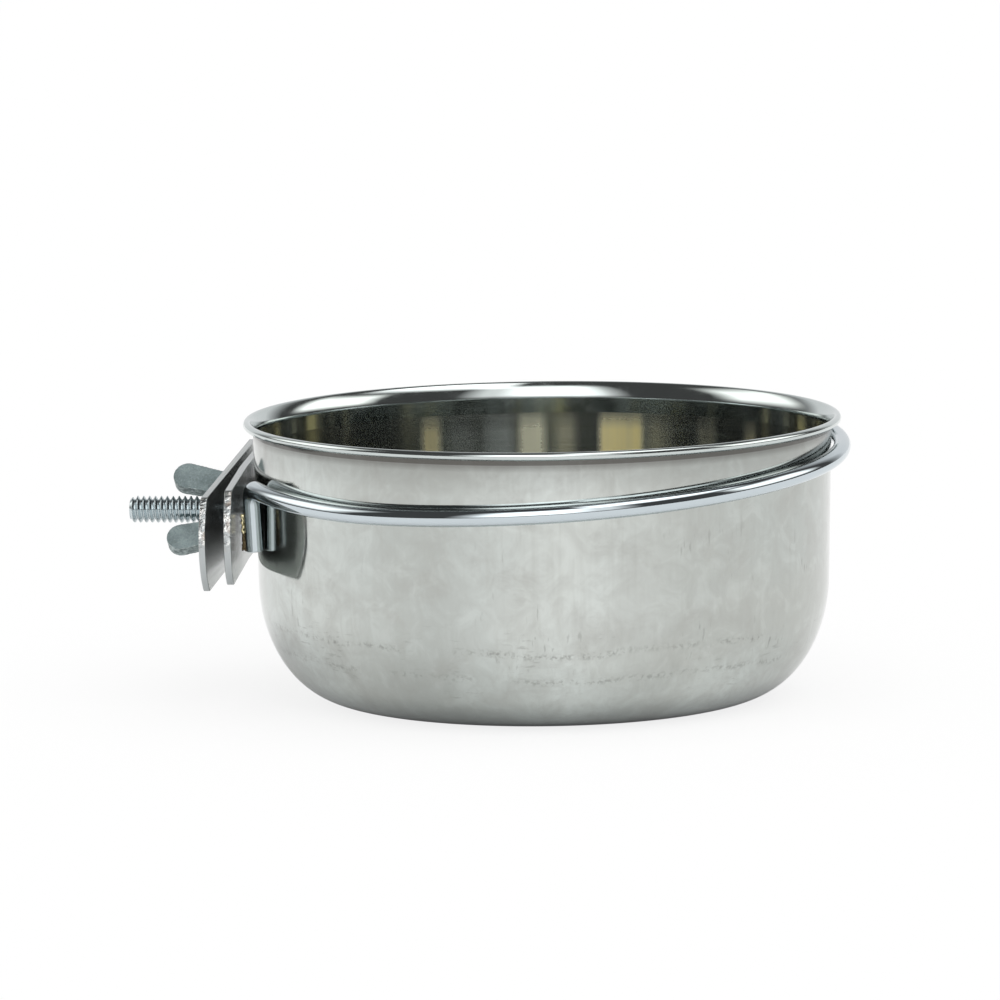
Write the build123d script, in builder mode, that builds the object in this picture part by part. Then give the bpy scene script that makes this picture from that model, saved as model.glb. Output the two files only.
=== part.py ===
"""Seed cup: a drawn steel bowl carried by a wire ring that clamps onto cage bars.

Millimetres, +Z up. The origin is the centre of the cup's flat base, and the clamp
reaches out along -X.
"""

import os
from math import asin, cos, degrees, hypot, radians, sin, sqrt, tan

from build123d import *

# Cup: one drawn sheet with a rolled rim
RIM_DIAMETER = 105.0
CUP_HEIGHT = 49.4
SHEET = 0.6
WALL_INSET = 2.3
CORNER_WIDTH = 15.4
CORNER_HEIGHT = 21.3
DRAFT = 1.3
FLARE_ANGLE = 20.0
FLARE_BEND = 0.8
BEAD_DIAMETER = 1.42

# Holder ring: one wire, seated askew on the cup as it was left standing
WIRE_DIAMETER = 3.15
RING_BELOW_RIM = 8.0
RING_CLEARANCE = 0.2
RING_PITCH = 3.05
RING_DROP = 2.4
END_LIFT = 0.7
LIFT_ANGLE = 36.0
LEG_INSET = 12.45
LEG_DROP = 10.5
LEG_BEND = 3.0
LEG_ROUND = 0.3

# Clamp jaws: two strips with the same outline, the inner one set a little askew
JAW_LENGTH = 60.7
JAW_WIDTH = 16.6
INNER_THICKNESS = 1.28
OUTER_THICKNESS = 1.15
JAW_END_SAG = 3.8
JAW_CORNER = 1.0
JAW_EDGE = 0.15
JAW_CREASE = 0.9
CLAMP_YAW = 2.5
INNER_TWIST = 2.1
OUTER_TWIST = 3.9
HOLE_RISE = 0.3
HOLE_OFFSET = 0.5
JAW_STANDOFF = 1.98
JAW_GAP = 1.41

# Clamp stud: 3/16 inch, with a thin weld head behind the inner jaw
STUD_BELOW_RING = 8.9
STUD_DIAMETER = 4.76
STUD_REACH = 19.87
STUD_TIP = 0.6
STUD_FIT = 0.05
HEAD_DIAMETER = 9.0
HEAD_THICKNESS = 1.0
SLIDE_CLEARANCE = 0.45
HANG_GAP = 0.1

# Wing nut: cast hub with two ears
NUT_SEAT = 0.05
HUB_DIAMETER = 10.0
HUB_TOP_DIAMETER = 9.2
HUB_HEIGHT = 3.2
EAR_SPAN = 17.8
EAR_HEIGHT = 10.05
EAR_WIDTH = 5.0
EAR_ROUND = 2.3
EAR_THICKNESS = 1.7
EAR_FOOT = 14.4
EAR_GAP = 0.5
EAR_FOOT_HEIGHT = 0.8
EAR_EDGE = 0.5
EAR_ANGLE = 39.7

# Braze beads between the legs and the inner jaw
BRAZE_WIDTH = 1.5
BRAZE_WAIST = 1.1
BRAZE_HEIGHT = 6.8

os.makedirs("parts", exist_ok=True)


def wall_radius(height):
    """Outside radius of the cup's straight wall at a height."""
    return wall_r + (height - CORNER_HEIGHT) * tan(radians(DRAFT))


def flare_root(tip, wall):
    """Point where the flare's slope through tip meets a wall line that starts at the corner."""
    slope = tan(radians(FLARE_ANGLE))
    draft = tan(radians(DRAFT))
    height = (tip.X - tip.Y * slope - wall + CORNER_HEIGHT * draft) / (draft - slope)
    return Vector(wall + (height - CORNER_HEIGHT) * draft, height)


# Cup
wall_r = RIM_DIAMETER / 2 - WALL_INSET
base_r = wall_r - CORNER_WIDTH
bead_r = BEAD_DIAMETER / 2
bead = Vector(RIM_DIAMETER / 2 - bead_r, CUP_HEIGHT - bead_r)
up_flare = Vector(sin(radians(FLARE_ANGLE)), cos(radians(FLARE_ANGLE)))
in_flare = Vector(-up_flare.Y, up_flare.X)
sheet_back = bead_r - SHEET
outer_tip = bead + in_flare * sheet_back - up_flare * sqrt(bead_r**2 - sheet_back**2)
inner_tip = bead + in_flare * bead_r
outer_root = flare_root(outer_tip, wall_r)
inner_root = flare_root(inner_tip, wall_r - SHEET)

with BuildPart() as cup:
    with BuildSketch(Plane.XZ) as section:
        with BuildLine():
            outer_base = Line((0, 0), (base_r, 0))
            outer_corner = EllipticalCenterArc(
                (base_r, CORNER_HEIGHT), CORNER_WIDTH, CORNER_HEIGHT, start_angle=270, arc_size=90
            )
            outer_wall = Line(outer_corner @ 1, outer_root)
            outer_flare = Line(outer_root, outer_tip)
            rolled_bead = ThreePointArc(outer_tip, bead - in_flare * bead_r, inner_tip)
            inner_flare = Line(inner_tip, inner_root)
            inner_wall = Line(inner_root, (wall_r - SHEET, CORNER_HEIGHT))
            inner_corner = EllipticalCenterArc(
                (base_r, CORNER_HEIGHT),
                CORNER_WIDTH - SHEET,
                CORNER_HEIGHT - SHEET,
                start_angle=270,
                arc_size=90,
            )
            inner_base = Line((base_r, SHEET), (0, SHEET))
            axis_line = Line((0, SHEET), (0, 0))
        make_face()
        fillet(section.vertices().sort_by_distance(outer_root)[0], FLARE_BEND)
        fillet(section.vertices().sort_by_distance(inner_root)[0], FLARE_BEND + SHEET)
    revolve(axis=Axis.Z)
cup.part.label = "cup"
export_step(cup.part, "parts/cup.step")

# Holder ring
wire_r = WIRE_DIAMETER / 2
ring_height = CUP_HEIGHT - RING_BELOW_RIM
ring_tilt = hypot(RING_PITCH, RING_DROP)
ring_rise = RIM_DIAMETER / 2 * sin(radians(ring_tilt))
ring_r = (wall_radius(ring_height + ring_rise) + RING_CLEARANCE + wire_r) / cos(radians(ring_tilt))
ring_plane = Plane.XY.offset(ring_height).rotated((RING_PITCH, -RING_DROP, 0))
ring_down = ring_plane.z_dir * -1
leg_angle = degrees(asin((JAW_LENGTH / 2 - LEG_INSET) / ring_r))
bend_angle = degrees(LEG_BEND / ring_r)
front_end = CLAMP_YAW + leg_angle + bend_angle - 180
rear_end = CLAMP_YAW - leg_angle - bend_angle + 180


def ring_point(angle, lift=0):
    """Point of the wire's middle line at an angle round the ring."""
    return ring_plane.from_local_coords((ring_r * cos(radians(angle)), ring_r * sin(radians(angle)), lift))


def lifted_end(angle, way):
    """Points along the wire where it rises towards an end of the loop."""
    steps = [step / 6 for step in range(7)]
    return [ring_point(angle - way * LIFT_ANGLE * (1 - s), END_LIFT * s * s * (3 - 2 * s)) for s in steps]


def bend_points(start, away):
    """Middle and end of a quarter bend that turns a wire from a direction to the ring's down."""
    half_turn = radians(45)
    middle = start + away * (LEG_BEND * sin(half_turn)) + ring_down * (LEG_BEND * (1 - cos(half_turn)))
    end = start + (away + ring_down) * LEG_BEND
    return middle, end


def ring_way(angle):
    """Direction of the wire at an angle round the ring, anticlockwise."""
    return (ring_point(angle + 90) - ring_plane.origin).normalized()


leg_drop = ring_down * (LEG_DROP - LEG_BEND + END_LIFT)
with BuildPart() as holder_ring:
    with BuildLine(ring_plane) as wire_path:
        loop_start = front_end + LIFT_ANGLE
        loop = CenterArc((0, 0), ring_r, start_angle=loop_start, arc_size=rear_end - LIFT_ANGLE - loop_start)
        front_rise = Spline(
            *lifted_end(front_end, -1),
            tangents=(ring_way(loop_start) * -1, ring_way(front_end) * -1),
        )
        rear_rise = Spline(*lifted_end(rear_end, 1), tangents=(loop % 1, ring_way(rear_end)))
        front_bend = ThreePointArc(front_rise @ 1, *bend_points(front_rise @ 1, ring_way(front_end) * -1))
        front_leg = Line(front_bend @ 1, front_bend @ 1 + leg_drop)
        rear_bend = ThreePointArc(rear_rise @ 1, *bend_points(rear_rise @ 1, ring_way(rear_end)))
        rear_leg = Line(rear_bend @ 1, rear_bend @ 1 + leg_drop)
    with BuildSketch(Plane(front_leg @ 1, z_dir=ring_down * -1)):
        Circle(wire_r)
    sweep(path=wire_path.wire())
    leg_cuts = holder_ring.faces().filter_by(GeomType.PLANE)
    fillet(leg_cuts.edges(), LEG_ROUND)
holder_ring.part.label = "holder_ring"
export_step(holder_ring.part, "parts/holder_ring.step")

# Places along the stud, as distances from the cup's axis
stud_height = ring_height - STUD_BELOW_RING
inner_back = wall_radius(stud_height) + JAW_STANDOFF
inner_face = inner_back + INNER_THICKNESS
outer_back = inner_face + JAW_GAP
outer_face = outer_back + OUTER_THICKNESS
nut_base = outer_face + NUT_SEAT
stud_end = inner_face + STUD_REACH
stud_r = STUD_DIAMETER / 2
inner_along = (0, cos(radians(INNER_TWIST)), sin(radians(INNER_TWIST)))
outer_along = (0, cos(radians(OUTER_TWIST)), sin(radians(OUTER_TWIST)))

# Outline of both jaws, lengthways along X
jaw_half = JAW_LENGTH / 2 - JAW_END_SAG
with BuildSketch() as jaw_outline:
    with BuildLine():
        Line((-jaw_half, JAW_WIDTH / 2), (jaw_half, JAW_WIDTH / 2))
        ThreePointArc((jaw_half, JAW_WIDTH / 2), (JAW_LENGTH / 2, 0), (jaw_half, -JAW_WIDTH / 2))
        Line((jaw_half, -JAW_WIDTH / 2), (-jaw_half, -JAW_WIDTH / 2))
        ThreePointArc((-jaw_half, -JAW_WIDTH / 2), (-JAW_LENGTH / 2, 0), (-jaw_half, JAW_WIDTH / 2))
    make_face()
    fillet(jaw_outline.vertices(), JAW_CORNER)

# Inner jaw, creased along its middle, with its front end nearer to the cup than its rear end
jaw_reach = JAW_LENGTH / 2 + HOLE_OFFSET
front_lean = jaw_reach * tan(radians(CLAMP_YAW + JAW_CREASE))
rear_lean = jaw_reach * tan(radians(JAW_CREASE - CLAMP_YAW))
inner_centre = Vector(-inner_face, 0, stud_height)
crease_plane = Plane(inner_centre, x_dir=inner_along, z_dir=(0, inner_along[2], -inner_along[1]))
with BuildPart() as inner_jaw:
    with BuildSketch(Plane(inner_centre, x_dir=inner_along, z_dir=(1, 0, 0))):
        with Locations((-HOLE_OFFSET, -HOLE_RISE)):
            add(jaw_outline.sketch)
        Circle(stud_r + STUD_FIT, mode=Mode.SUBTRACT)
    extrude(amount=JAW_WIDTH / 2, both=True)
    with BuildSketch(crease_plane):
        with BuildLine():
            Polyline(
                (-jaw_reach, front_lean),
                (0, 0),
                (jaw_reach, rear_lean),
                (jaw_reach, rear_lean + INNER_THICKNESS),
                (0, INNER_THICKNESS),
                (-jaw_reach, front_lean + INNER_THICKNESS),
                close=True,
            )
        make_face()
    extrude(amount=JAW_WIDTH, both=True, mode=Mode.INTERSECT)
inner_jaw.part.label = "inner_jaw"
export_step(inner_jaw.part, "parts/inner_jaw.step")

# Outer jaw, flat, hanging by its loose hole on the stud
outer_centre = Vector(-outer_face, 0, stud_height - SLIDE_CLEARANCE + HANG_GAP)
with BuildPart() as outer_jaw:
    with BuildSketch(Plane(outer_centre, x_dir=outer_along, z_dir=(1, 0, 0))):
        with Locations((-HOLE_OFFSET, -HOLE_RISE)):
            add(jaw_outline.sketch)
        Circle(stud_r + SLIDE_CLEARANCE, mode=Mode.SUBTRACT)
    extrude(amount=OUTER_THICKNESS)
    jaw_faces = outer_jaw.faces().filter_by(Axis.X)
    chamfer(jaw_faces.edges(), JAW_EDGE)
outer_jaw.part.label = "outer_jaw"
export_step(outer_jaw.part, "parts/outer_jaw.step")

# Clamp stud, with its head trimmed to the inner jaw's back
stud_plane = Plane((-inner_back + HEAD_THICKNESS, 0, stud_height), x_dir=(0, 1, 0), z_dir=(-1, 0, 0))
with BuildPart() as clamp_stud:
    with BuildSketch(stud_plane):
        Circle(HEAD_DIAMETER / 2)
    extrude(amount=HEAD_THICKNESS)
    add(inner_jaw.part, mode=Mode.SUBTRACT)
    with BuildSketch(stud_plane):
        Circle(stud_r)
    extrude(amount=stud_end - inner_back + HEAD_THICKNESS)
    chamfer(clamp_stud.edges().sort_by(Axis.X)[0], STUD_TIP)
clamp_stud.part.label = "clamp_stud"
export_step(clamp_stud.part, "parts/clamp_stud.step")

# Wing nut, with its ears in a plane through the stud's axis
ear_along = Vector(0, sin(radians(EAR_ANGLE)), cos(radians(EAR_ANGLE)))
nut_origin = Vector(-nut_base, 0, stud_height)
nut_plane = Plane(nut_origin, x_dir=ear_along, z_dir=(-1, 0, 0))
ear_plane = Plane(nut_origin, x_dir=ear_along, z_dir=ear_along.cross(Vector(-1, 0, 0)))


def clear_of_hub(edge):
    """Whether an edge of the ears lies outside the hub."""
    return abs((edge @ 0.5 - nut_origin).dot(ear_along)) > HUB_DIAMETER / 2 + EAR_EDGE


with BuildPart() as wing_nut:
    with Locations(nut_plane):
        Cone(
            HUB_DIAMETER / 2,
            HUB_TOP_DIAMETER / 2,
            HUB_HEIGHT,
            align=(Align.CENTER, Align.CENTER, Align.MIN),
        )
    with BuildSketch(ear_plane) as ears:
        with BuildLine():
            Polyline(
                (0, EAR_FOOT_HEIGHT),
                (EAR_FOOT / 2, EAR_FOOT_HEIGHT),
                (EAR_SPAN / 2, EAR_HEIGHT),
                (EAR_SPAN / 2 - EAR_WIDTH, EAR_HEIGHT),
                (stud_r + EAR_GAP, HUB_HEIGHT - EAR_FOOT_HEIGHT),
                (0, HUB_HEIGHT - EAR_FOOT_HEIGHT),
                close=True,
            )
        make_face()
        ear_top = ears.vertices().group_by(Axis.Y)[-1]
        fillet(ear_top, EAR_ROUND)
        mirror(about=Plane.YZ)
    extrude(amount=EAR_THICKNESS / 2, both=True)
    ear_sides = wing_nut.faces().filter_by(lambda f: abs(f.normal_at().dot(ear_plane.z_dir)) > 0.999)
    fillet(ear_sides.edges().filter_by(clear_of_hub), EAR_EDGE)
    with Locations(nut_plane):
        Cylinder(
            stud_r + STUD_FIT,
            EAR_HEIGHT,
            align=(Align.CENTER, Align.CENTER, Align.MIN),
            mode=Mode.SUBTRACT,
        )
wing_nut.part.label = "wing_nut"
export_step(wing_nut.part, "parts/wing_nut.step")

# Braze beads, each trimmed to the leg and the jaw that it joins
for name, leg, lean in (("front_braze", front_leg, front_lean), ("rear_braze", rear_leg, rear_lean)):
    foot = leg @ 1
    jaw_middle = inner_face - INNER_THICKNESS / 2 - abs(foot.Y) * lean / jaw_reach
    reach = jaw_middle + foot.X
    with BuildPart() as braze:
        with BuildSketch(Plane(foot, x_dir=inner_along, z_dir=ring_down * -1)):
            with BuildLine():
                Polyline(
                    (-BRAZE_WAIST / 2, 0),
                    (BRAZE_WAIST / 2, 0),
                    (BRAZE_WIDTH / 2, reach),
                    (-BRAZE_WIDTH / 2, reach),
                    close=True,
                )
            make_face()
        extrude(amount=BRAZE_HEIGHT)
        add(holder_ring.part, mode=Mode.SUBTRACT)
        add(inner_jaw.part, mode=Mode.SUBTRACT)
    braze.part.label = name
    export_step(braze.part, f"parts/{name}.step")
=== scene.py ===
# %% [markdown]
# # A seed cup in its clamp ring
# The object is a bird's seed cup: a drawn steel bowl that drops into a wire ring, and a
# two-jaw clamp that a wing nut tightens on the bars of a cage. The CAD model gives every
# piece its size and its place. This scene makes the pieces that the eye sees: each one
# stands for a CAD node, and it rides the same moving body. The pieces are drawn in
# millimetres, and the one factor below turns them into Blender's metres.

# %% Load the CAD frame
from math import asin, atan2, cos, hypot, pi, radians, sin, tan

import bmesh
import bpy
from mathutils import Matrix, Vector


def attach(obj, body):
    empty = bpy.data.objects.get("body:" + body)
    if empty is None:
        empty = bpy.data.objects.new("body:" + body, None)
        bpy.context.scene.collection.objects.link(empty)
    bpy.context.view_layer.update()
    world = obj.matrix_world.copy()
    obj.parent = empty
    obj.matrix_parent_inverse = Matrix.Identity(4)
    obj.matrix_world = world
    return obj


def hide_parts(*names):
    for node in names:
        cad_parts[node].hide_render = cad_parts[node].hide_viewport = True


MM = 0.001
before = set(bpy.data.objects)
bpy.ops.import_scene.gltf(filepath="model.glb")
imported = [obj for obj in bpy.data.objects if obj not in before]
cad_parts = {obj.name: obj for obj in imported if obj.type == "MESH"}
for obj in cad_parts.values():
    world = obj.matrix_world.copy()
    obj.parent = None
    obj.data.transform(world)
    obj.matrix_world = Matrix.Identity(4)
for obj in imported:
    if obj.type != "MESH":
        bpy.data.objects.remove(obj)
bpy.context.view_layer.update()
print("CAD nodes:", ", ".join(sorted(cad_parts)))

# %% [markdown]
# ## Sizes
# The same few numbers drive the CAD model. From them come the radius of the wall at any
# height, the plane of the ring, which sits askew on the cup, and the places along the stud.

# %% Sizes shared by the pieces
RIM_RADIUS = 52.5
CUP_HEIGHT = 49.4
SHEET = 0.6
WALL_RADIUS = 50.2
BASE_RADIUS = 34.8
CORNER_HEIGHT = 21.3
DRAFT = radians(1.3)
LIP_TURN = radians(42.0)
BEAD_RADIUS = 0.71

WIRE_RADIUS = 1.575
RING_HEIGHT = 41.4
RING_CLEARANCE = 0.2
RING_PITCH = radians(3.05)
RING_DROP = radians(2.4)

STUD_HEIGHT = 32.5
STUD_RADIUS = 2.38
STUD_REACH = 19.87
STUD_FIT = 0.05
JAW_LENGTH = 60.7
INNER_THICKNESS = 1.28
OUTER_THICKNESS = 1.15
JAW_STANDOFF = 1.98
JAW_GAP = 1.41
CLAMP_YAW = radians(2.5)
NUT_SEAT = 0.05


def wall_radius(height):
    """Outside radius of the straight wall at a height."""
    return WALL_RADIUS + (height - CORNER_HEIGHT) * tan(DRAFT)


inner_back = wall_radius(STUD_HEIGHT) + JAW_STANDOFF
inner_face = inner_back + INNER_THICKNESS
outer_face = inner_face + JAW_GAP + OUTER_THICKNESS
nut_base = outer_face + NUT_SEAT
stud_end = inner_face + STUD_REACH
print(f"stud from {inner_back:.2f} to {stud_end:.2f} mm out from the cup's axis")

# %% [markdown]
# ## Small helpers
# A node tree is easier to read when each node is one line. `add_node` adds a node and feeds
# its inputs with plain numbers or with other nodes' outputs, and `math_node` and `ranged` do
# so for the two nodes that are used most. `geometry_tree` starts a Geometry Nodes tree with
# named inputs, `finish_tree` ends it, and `grow` runs it on an object and keeps the result as
# a plain mesh, so nothing live is left in the scene.

# %% Helpers for node trees
def feed(tree, socket, value):
    """Links an output into a socket, or sets the socket to a constant."""
    if isinstance(value, bpy.types.NodeSocket):
        tree.links.new(value, socket)
    else:
        socket.default_value = value


def add_node(tree, kind, inputs, **settings):
    """Adds a node with its settings and feeds its inputs, which go by name or number."""
    node = tree.nodes.new(kind)
    for name, value in settings.items():
        setattr(node, name, value)
    for name, value in inputs.items():
        feed(tree, node.inputs[name], value)
    return node


def math_node(tree, operation, first, *others):
    """Joins values with Math nodes, one after another, and returns the last output."""
    if not others:
        return add_node(tree, "ShaderNodeMath", {0: first}, operation=operation).outputs[0]
    for other in others:
        first = add_node(tree, "ShaderNodeMath", {0: first, 1: other}, operation=operation).outputs[0]
    return first


def product(tree, *values):
    """The product of some values."""
    return math_node(tree, "MULTIPLY", *values)


def highest(tree, *values):
    """The highest of some values."""
    return math_node(tree, "MAXIMUM", *values)


def ranged(tree, value, low, high, to_low=0.0, to_high=1.0):
    """Maps a value from one range to another, clamped at both ends."""
    ends = {"Value": value, "From Min": low, "From Max": high, "To Min": to_low, "To Max": to_high}
    return add_node(tree, "ShaderNodeMapRange", ends).outputs["Result"]


def parts_of(tree, vector):
    """The X, Y and Z of a vector."""
    return add_node(tree, "ShaderNodeSeparateXYZ", {"Vector": vector}).outputs


# %% Helpers for Geometry Nodes and pieces
WELD = 0.002


def geometry_tree(name, inputs):
    """Starts a Geometry Nodes tree and returns it with its inputs and its output node."""
    tree = bpy.data.node_groups.new(name, "GeometryNodeTree")
    tree.interface.new_socket("Geometry", in_out="INPUT", socket_type="NodeSocketGeometry")
    for label, kind in inputs.items():
        tree.interface.new_socket(label, in_out="INPUT", socket_type="NodeSocket" + kind)
    tree.interface.new_socket("Geometry", in_out="OUTPUT", socket_type="NodeSocketGeometry")
    return tree, tree.nodes.new("NodeGroupInput").outputs, tree.nodes.new("NodeGroupOutput")


def chain(tree, *nodes):
    """Links the first output of each node into the first input of the next."""
    for before, after in zip(nodes, nodes[1:]):
        tree.links.new(before.outputs[0], after.inputs[0])


def finish_tree(tree, shape, finishes, result):
    """Ends a tree: smooth shading, real geometry, and each finish where its selection holds."""
    tail = [tree.nodes.new("GeometryNodeSetShadeSmooth"), tree.nodes.new("GeometryNodeRealizeInstances")]
    for finish, selection in finishes:
        tail.append(add_node(tree, "GeometryNodeSetMaterial", {"Selection": selection, "Material": finish}))
    chain(tree, shape, *tail, result)


def put_in_scene(name, data):
    """Links a new object to the scene, at the origin."""
    obj = bpy.data.objects.new(name, data)
    bpy.context.scene.collection.objects.link(obj)
    return obj


def evaluated_mesh(obj, name):
    """Returns what an object's modifiers make of it as a plain mesh, and removes the object."""
    depsgraph = bpy.context.evaluated_depsgraph_get()
    mesh = bpy.data.meshes.new_from_object(obj.evaluated_get(depsgraph), depsgraph=depsgraph)
    bpy.data.objects.remove(obj)
    mesh.name = name
    return mesh


def grow(name, data, tree, values):
    """Runs a tree on some data and returns a new object with the plain mesh it makes."""
    source = put_in_scene(name + " source", data)
    modifier = source.modifiers.new(tree.name, "NODES")
    modifier.node_group = tree
    for item in tree.interface.items_tree:
        if item.in_out == "INPUT" and item.name in values:
            modifier[item.identifier] = values[item.name]
    return put_in_scene(name, evaluated_mesh(source, name))


def poly_curve(name, points, radii=None):
    """A curve of straight steps through points that are given in millimetres."""
    curve = bpy.data.curves.new(name, "CURVE")
    curve.dimensions = "3D"
    spline = curve.splines.new("POLY")
    spline.points.add(len(points) - 1)
    for index, point in enumerate(points):
        spline.points[index].co = (*(Vector(point) * MM), 1.0)
        if radii:
            spline.points[index].radius = radii[index]
    return curve


def evenly(start, end, steps):
    """Evenly spaced numbers from a start to an end, with both."""
    return [start + (end - start) * step / steps for step in range(steps + 1)]


def stand_for(obj, node, body):
    """Lets a piece stand for a CAD node on a body, and prints what the piece is made of."""
    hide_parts(node)
    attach(obj, body)
    size = Vector(obj.dimensions) / MM
    print(f"{obj.name}: {len(obj.data.polygons)} faces, {size.x:.1f} x {size.y:.1f} x {size.z:.1f} mm")


# %% [markdown]
# ## Camera
# The photograph was taken from about 1.3 m away with a long lens, a little above the rim.
# The camera's place, in metres, was worked out from the ellipses of the rim, the base and the
# ring. The clamp lies 7 degrees short of square to the view, so the camera is turned by that
# much.

# %% Camera at the photograph's angle
VIEW_DISTANCE = 1.26
VIEW_HEIGHT = 0.20282
VIEW_TURN = radians(7.0)
VIEW_PITCH = 0.13279
VIEW_YAW = -0.00600
VIEW_ROLL = -0.01293
SENSOR_WIDTH = 36.0
FOCAL_LENGTH = 260.21
VIEW_LIMIT = 100.0

forward = Vector((sin(VIEW_YAW) * cos(VIEW_PITCH), cos(VIEW_YAW) * cos(VIEW_PITCH), -sin(VIEW_PITCH)))
right = Vector((cos(VIEW_YAW), -sin(VIEW_YAW), 0.0))
upward = right.cross(forward)
right, upward = (
    right * cos(VIEW_ROLL) + upward * sin(VIEW_ROLL),
    upward * cos(VIEW_ROLL) - right * sin(VIEW_ROLL),
)
axes = Matrix((right, upward, -forward)).transposed().to_4x4()
around = Matrix.Rotation(VIEW_TURN, 4, "Z")

lens = bpy.data.cameras.new("photo camera")
lens.sensor_fit = "HORIZONTAL"
lens.sensor_width = SENSOR_WIDTH
lens.lens = FOCAL_LENGTH
lens.clip_end = VIEW_LIMIT
camera = put_in_scene("photo camera", lens)
camera.matrix_world = around @ Matrix.Translation((0.0, -VIEW_DISTANCE, VIEW_HEIGHT)) @ axes
bpy.context.scene.camera = camera
print("camera at", [round(v, 4) for v in camera.matrix_world.translation])

# %% [markdown]
# ## Studio
# Bright metal has hardly a colour of its own: it shows the room. So the studio matters more
# than any texture here. The wire ring in the photograph is a mirror bent round the cup, and
# it tells what stood in that room: a tall bright window behind the camera, a light overhead to
# the right, a soft box on each side, a white sweep behind the cup, and darkness between them.
# The world holds that room for reflections alone. The camera sees plain white, and the light
# that falls on the object is plain and even.

# %% World with a room in it
ROOM_DARK = 0.07
PLAIN_LIGHT = 0.6
# The sweep: degrees from the front where it starts and is full, and how it fades with elevation
SWEEP_SIDES = (133.0, 150.0)
SWEEP_TOP = (22.0, 48.0, 1.0, 0.12)
SWEEP_COLOUR = (0.74, 0.75, 0.76)
# Each light: azimuth and elevation of its middle, half sizes and soft edge in degrees, and its colour
ROOM_LIGHTS = (
    ((-1.0, 32.0), (31.0, 25.0), 6.0, (1.0, 1.0, 1.0)),
    ((-5.0, 32.0), (18.0, 25.0), 6.0, (1.2, 1.22, 1.22)),
    ((60.0, 65.0), (42.0, 15.0), 6.0, (2.1, 2.1, 2.1)),
    ((-108.0, 28.0), (23.0, 17.0), 7.0, (1.7, 1.7, 1.66)),
    ((99.0, 25.0), (22.0, 14.0), 5.0, (1.9, 1.9, 1.85)),
)


def within(tree, value, middle, half, soft):
    """One where a value lies within half of a middle, falling to nothing over a soft edge."""
    distance = math_node(tree, "ABSOLUTE", math_node(tree, "SUBTRACT", value, middle))
    return ranged(tree, distance, half - soft, half + soft, 1.0, 0.0)


def added(tree, colour, factor, light):
    """A colour plus a share of a light's colour."""
    inputs = {0: factor, 1: light, 2: colour}
    return add_node(tree, "ShaderNodeVectorMath", inputs, operation="MULTIPLY_ADD").outputs["Vector"]


scene = bpy.context.scene
scene.view_settings.view_transform = "Standard"
world = bpy.data.worlds.new("studio")
world.use_nodes = True
scene.world = world
sky = world.node_tree
rays = sky.nodes.new("ShaderNodeLightPath").outputs
towards = parts_of(sky, sky.nodes.new("ShaderNodeTexCoord").outputs["Generated"])
heading = math_node(sky, "ARCTAN2", towards["X"], product(sky, towards["Y"], -1.0))
azimuth = math_node(sky, "DEGREES", math_node(sky, "SUBTRACT", heading, VIEW_TURN))
elevation = math_node(sky, "DEGREES", math_node(sky, "ARCSINE", towards["Z"]))
behind = ranged(sky, math_node(sky, "ABSOLUTE", azimuth), *SWEEP_SIDES)
sweep_behind = product(sky, behind, ranged(sky, elevation, *SWEEP_TOP))
room = added(sky, (ROOM_DARK,) * 3, sweep_behind, SWEEP_COLOUR)
for (turn, rise), (half_turn, half_rise), soft, light in ROOM_LIGHTS:
    across = within(sky, azimuth, turn, half_turn, soft)
    upright = within(sky, elevation, rise, half_rise, soft)
    room = added(sky, room, product(sky, across, upright), light)
seen = highest(sky, rays["Is Camera Ray"], rays["Is Transmission Ray"])
plain_white = added(sky, (PLAIN_LIGHT,) * 3, seen, (1.0 - PLAIN_LIGHT,) * 3)
mirrored = add_node(
    sky, "ShaderNodeMix", {0: rays["Is Glossy Ray"], 4: plain_white, 5: room}, data_type="VECTOR"
)
feed(sky, sky.nodes["Background"].inputs["Color"], mirrored.outputs[1])
print("room with", len(ROOM_LIGHTS), "lights")

# %% [markdown]
# The floor is a pale sheet. Most of its white is a glow of its own, so that it stays near white
# round the object, and the rest is paint, which takes a soft shadow. In reflections it glows
# less, because the real table was not bright underneath the cup. One broad sun is the key light.

# %% Floor and key light
FLOOR_GLOW = 0.84
FLOOR_GLOW_MIRRORED = 0.10
FLOOR_LIGHT = 1.03
FLOOR_HALF = 12.0
FLOOR_DROP = 0.00005
KEY_STRENGTH = 1.45
KEY_ANGLE = radians(75.0)
KEY_TILT = (radians(12.0), radians(14.0), 0.0)

floor_material = bpy.data.materials.new("pale floor")
floor_material.use_nodes = True
tree = floor_material.node_tree
shader = tree.nodes["Principled BSDF"].inputs
mirror_ray = tree.nodes.new("ShaderNodeLightPath").outputs["Is Glossy Ray"]
glow = ranged(tree, mirror_ray, 0.0, 1.0, FLOOR_GLOW, FLOOR_GLOW_MIRRORED)
white = math_node(tree, "DIVIDE", math_node(tree, "SUBTRACT", 1.0, glow), FLOOR_LIGHT)
feed(tree, shader["Base Color"], white)
feed(tree, shader["Roughness"], 1.0)
feed(tree, shader["Specular IOR Level"], 0.0)
feed(tree, shader["Emission Color"], (1.0, 1.0, 1.0, 1.0))
feed(tree, shader["Emission Strength"], glow)

floor_mesh = bpy.data.meshes.new("floor")
floor_mesh.from_pydata(
    [(x * FLOOR_HALF, y * FLOOR_HALF, -FLOOR_DROP) for x, y in ((-1, -1), (1, -1), (1, 1), (-1, 1))],
    [],
    [(0, 1, 2, 3)],
)
floor_mesh.materials.append(floor_material)
floor = put_in_scene("floor", floor_mesh)

key = bpy.data.lights.new("key", "SUN")
key.energy = KEY_STRENGTH
key.angle = KEY_ANGLE
key_light = put_in_scene("key", key)
key_light.rotation_euler = KEY_TILT
key_light.visible_glossy = False
print("floor and key ready")

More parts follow.
